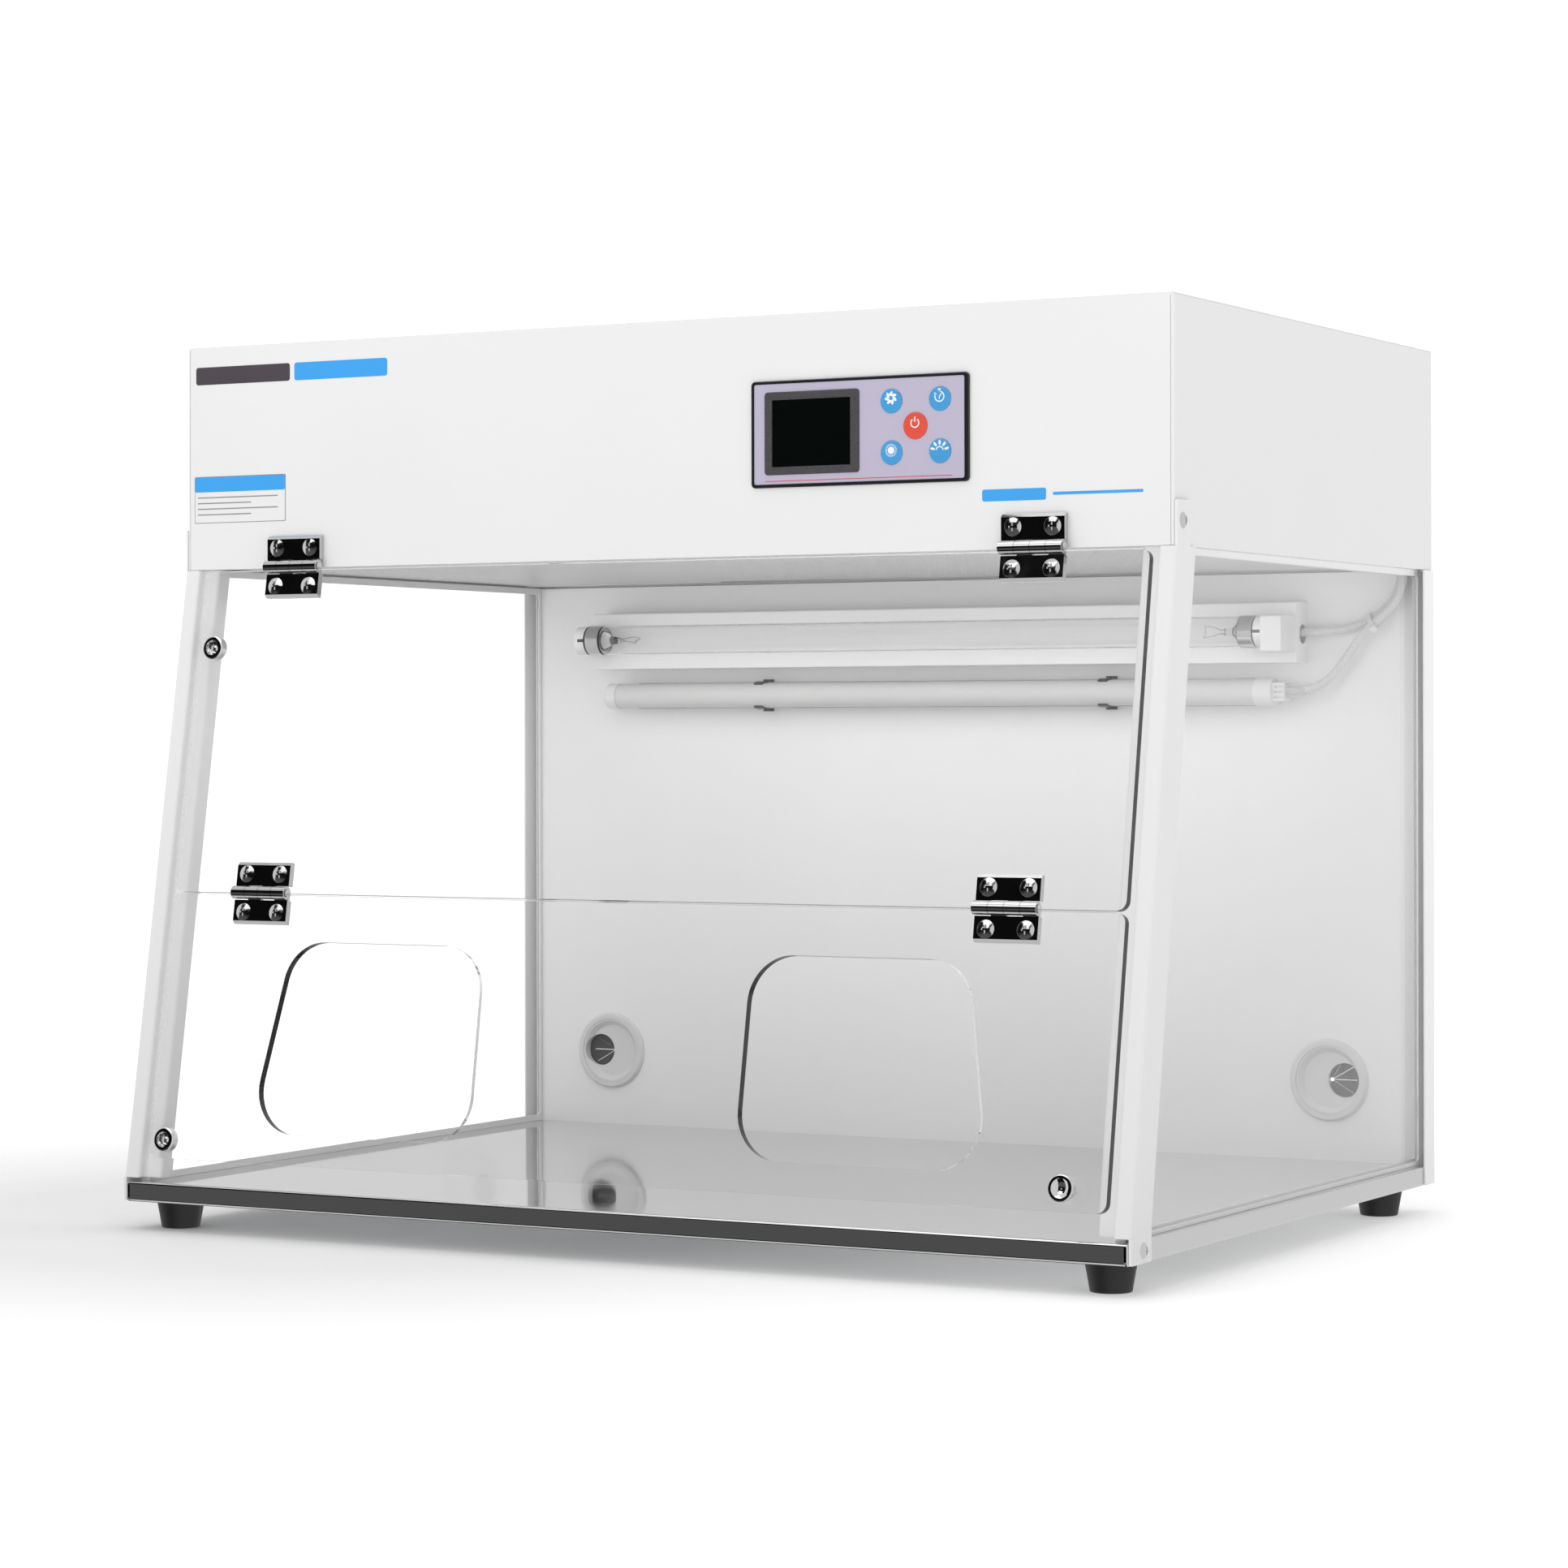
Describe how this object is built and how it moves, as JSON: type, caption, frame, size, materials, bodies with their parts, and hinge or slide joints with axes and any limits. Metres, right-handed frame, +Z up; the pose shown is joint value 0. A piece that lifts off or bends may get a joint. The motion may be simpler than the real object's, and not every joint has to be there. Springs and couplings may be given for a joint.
{
  "type": "laminar flow clean bench",
  "caption": "Desktop clean-air bench: filter head with blower, lamps, steel base tray and a raked clear door in two hinged halves with arm holes.",
  "frame": {"origin": "centre of the bounding box at the level of the feet's undersides", "axes": "+X to the user's right along the width, +Y from the front to the rear, +Z up"},
  "size_m": [0.8048, 0.5692, 0.6505],
  "materials": {
    "tray_steel": "mirror-bright stainless sheet",
    "zinc_sheet": "galvanised sheet",
    "black_rubber": "matt moulded rubber",
    "screw_steel": "bright plated screws",
    "white_coat": "smooth white powder coat",
    "diffuser_coat": "white coated perforated sheet",
    "clear_acrylic": "clear polished acrylic",
    "filter_frame_metal": "mill finish",
    "filter_paper": "pleated glass paper",
    "filter_mat": "coarse synthetic mat",
    "motor_metal": "cast housing",
    "fan_plastic": "glass-filled plastic",
    "black_plastic": "fine matt black",
    "panel_film": "satin printed film",
    "display_dark": "black display glass",
    "circuit_board": "green board",
    "button_blue": "glossy blue keys",
    "button_red": "glossy red key",
    "ballast_white": "white coated case",
    "tube_glass": "clear lamp glass",
    "tube_cap_metal": "bright caps",
    "white_plastic": "white plastic",
    "tube_diffuser": "frosted tube",
    "clip_dark": "spring clips",
    "lead_sleeve": "white braided sleeve",
    "tie_nylon": "natural nylon",
    "grommet_plastic": "light grey plastic",
    "grommet_brush": "slit rubber disc",
    "hinge_chrome": "polished cast hinge",
    "pin_steel": "ground pin",
    "bright_chrome": "polished plating"
  },
  "bodies": {
    "cabinet": {"back_panel": "white_coat", "base_tray": "tray_steel", "base_underframe": "zinc_sheet", "cable_tie": "tie_nylon", "control_bezel": "black_plastic", "control_face": "panel_film", "control_pcb": "circuit_board", "diffuser_plate": "diffuser_coat", "fan_deck": "zinc_sheet", "fan_motor": "motor_metal", "foot_screws": "screw_steel", "grommet_brushes": "grommet_brush", "grommet_rings": "grommet_plastic", "head_hinge_leaves": "hinge_chrome", "head_hinge_pins": "pin_steel", "head_hinge_screws": "screw_steel", "head_shell": "white_coat", "hepa_frame": "filter_frame_metal", "hepa_media": "filter_paper", "lamp_batten": "white_coat", "lamp_leads": "lead_sleeve", "lcd_frame": "black_plastic", "lcd_module": "display_dark", "led_clips": "clip_dark", "led_end_caps": "white_plastic", "led_tube": "tube_diffuser", "post_left": "white_coat", "post_right": "white_coat", "post_screws": "screw_steel", "power_inlet": "black_plastic", "power_supply": "zinc_sheet", "prefilter": "filter_mat", "prefilter_grille": "white_coat", "rubber_feet": "black_rubber", "side_frame_left": "white_coat", "side_frame_right": "white_coat", "side_pane_left": "clear_acrylic", "side_pane_right": "clear_acrylic", "uv_ballast": "ballast_white", "uv_lampholders": "white_plastic", "uv_tube": "tube_glass", "uv_tube_caps": "tube_cap_metal"},
    "upper_door": {"upper_pane": "clear_acrylic", "upper_door_leaves": "hinge_chrome", "upper_door_screws": "screw_steel", "upper_magnet": "bright_chrome", "fold_hinge_pins": "pin_steel"},
    "lower_door": {"lower_pane": "clear_acrylic", "lower_door_leaves": "hinge_chrome", "lower_door_screws": "screw_steel", "lower_magnet": "bright_chrome", "door_knob": "bright_chrome"},
    "fan_rotor": {"fan_impeller": "fan_plastic"},
    "cap_left": {"grommet_cap_left": "grommet_plastic"},
    "cap_right": {"grommet_cap_right": "grommet_plastic"},
    "key_fan": {"button_fan": "button_blue"},
    "key_timer": {"button_timer": "button_blue"},
    "key_power": {"button_power": "button_red"},
    "key_uv": {"button_uv": "button_blue"},
    "key_light": {"button_light": "button_blue"}
  },
  "joints": [
    {"name": "upper_door_swing", "type": "hinge", "parent": "cabinet", "child": "upper_door", "pos_m": [0, -0.20891, 0.48204], "axis": [-1, 0, 0], "range_deg": [0, 150]},
    {"name": "lower_door_fold", "type": "hinge", "parent": "upper_door", "child": "lower_door", "pos_m": [0, -0.24866, 0.2453], "axis": [-1, 0, 0], "range_deg": [0, 180]},
    {"name": "fan_spin", "type": "hinge", "parent": "cabinet", "child": "fan_rotor", "pos_m": [0, 0.04759, 0.593], "axis": [0, 0, 1], "continuous": true},
    {"name": "cap_left_turn", "type": "hinge", "parent": "cabinet", "child": "cap_left", "pos_m": [-0.316, 0.27059, 0.096], "axis": [0, 1, 0], "continuous": true},
    {"name": "cap_right_turn", "type": "hinge", "parent": "cabinet", "child": "cap_right", "pos_m": [0.316, 0.27059, 0.096], "axis": [0, 1, 0], "continuous": true},
    {"name": "press_fan", "type": "slide", "parent": "cabinet", "child": "key_fan", "axis": [0, 1, 0], "range_m": [0, 0.0006], "stiffness_N_per_m": 400},
    {"name": "press_timer", "type": "slide", "parent": "cabinet", "child": "key_timer", "axis": [0, 1, 0], "range_m": [0, 0.0006], "stiffness_N_per_m": 400},
    {"name": "press_power", "type": "slide", "parent": "cabinet", "child": "key_power", "axis": [0, 1, 0], "range_m": [0, 0.0006], "stiffness_N_per_m": 400},
    {"name": "press_uv", "type": "slide", "parent": "cabinet", "child": "key_uv", "axis": [0, 1, 0], "range_m": [0, 0.0006], "stiffness_N_per_m": 400},
    {"name": "press_light", "type": "slide", "parent": "cabinet", "child": "key_light", "axis": [0, 1, 0], "range_m": [0, 0.0006], "stiffness_N_per_m": 400}
  ]
}
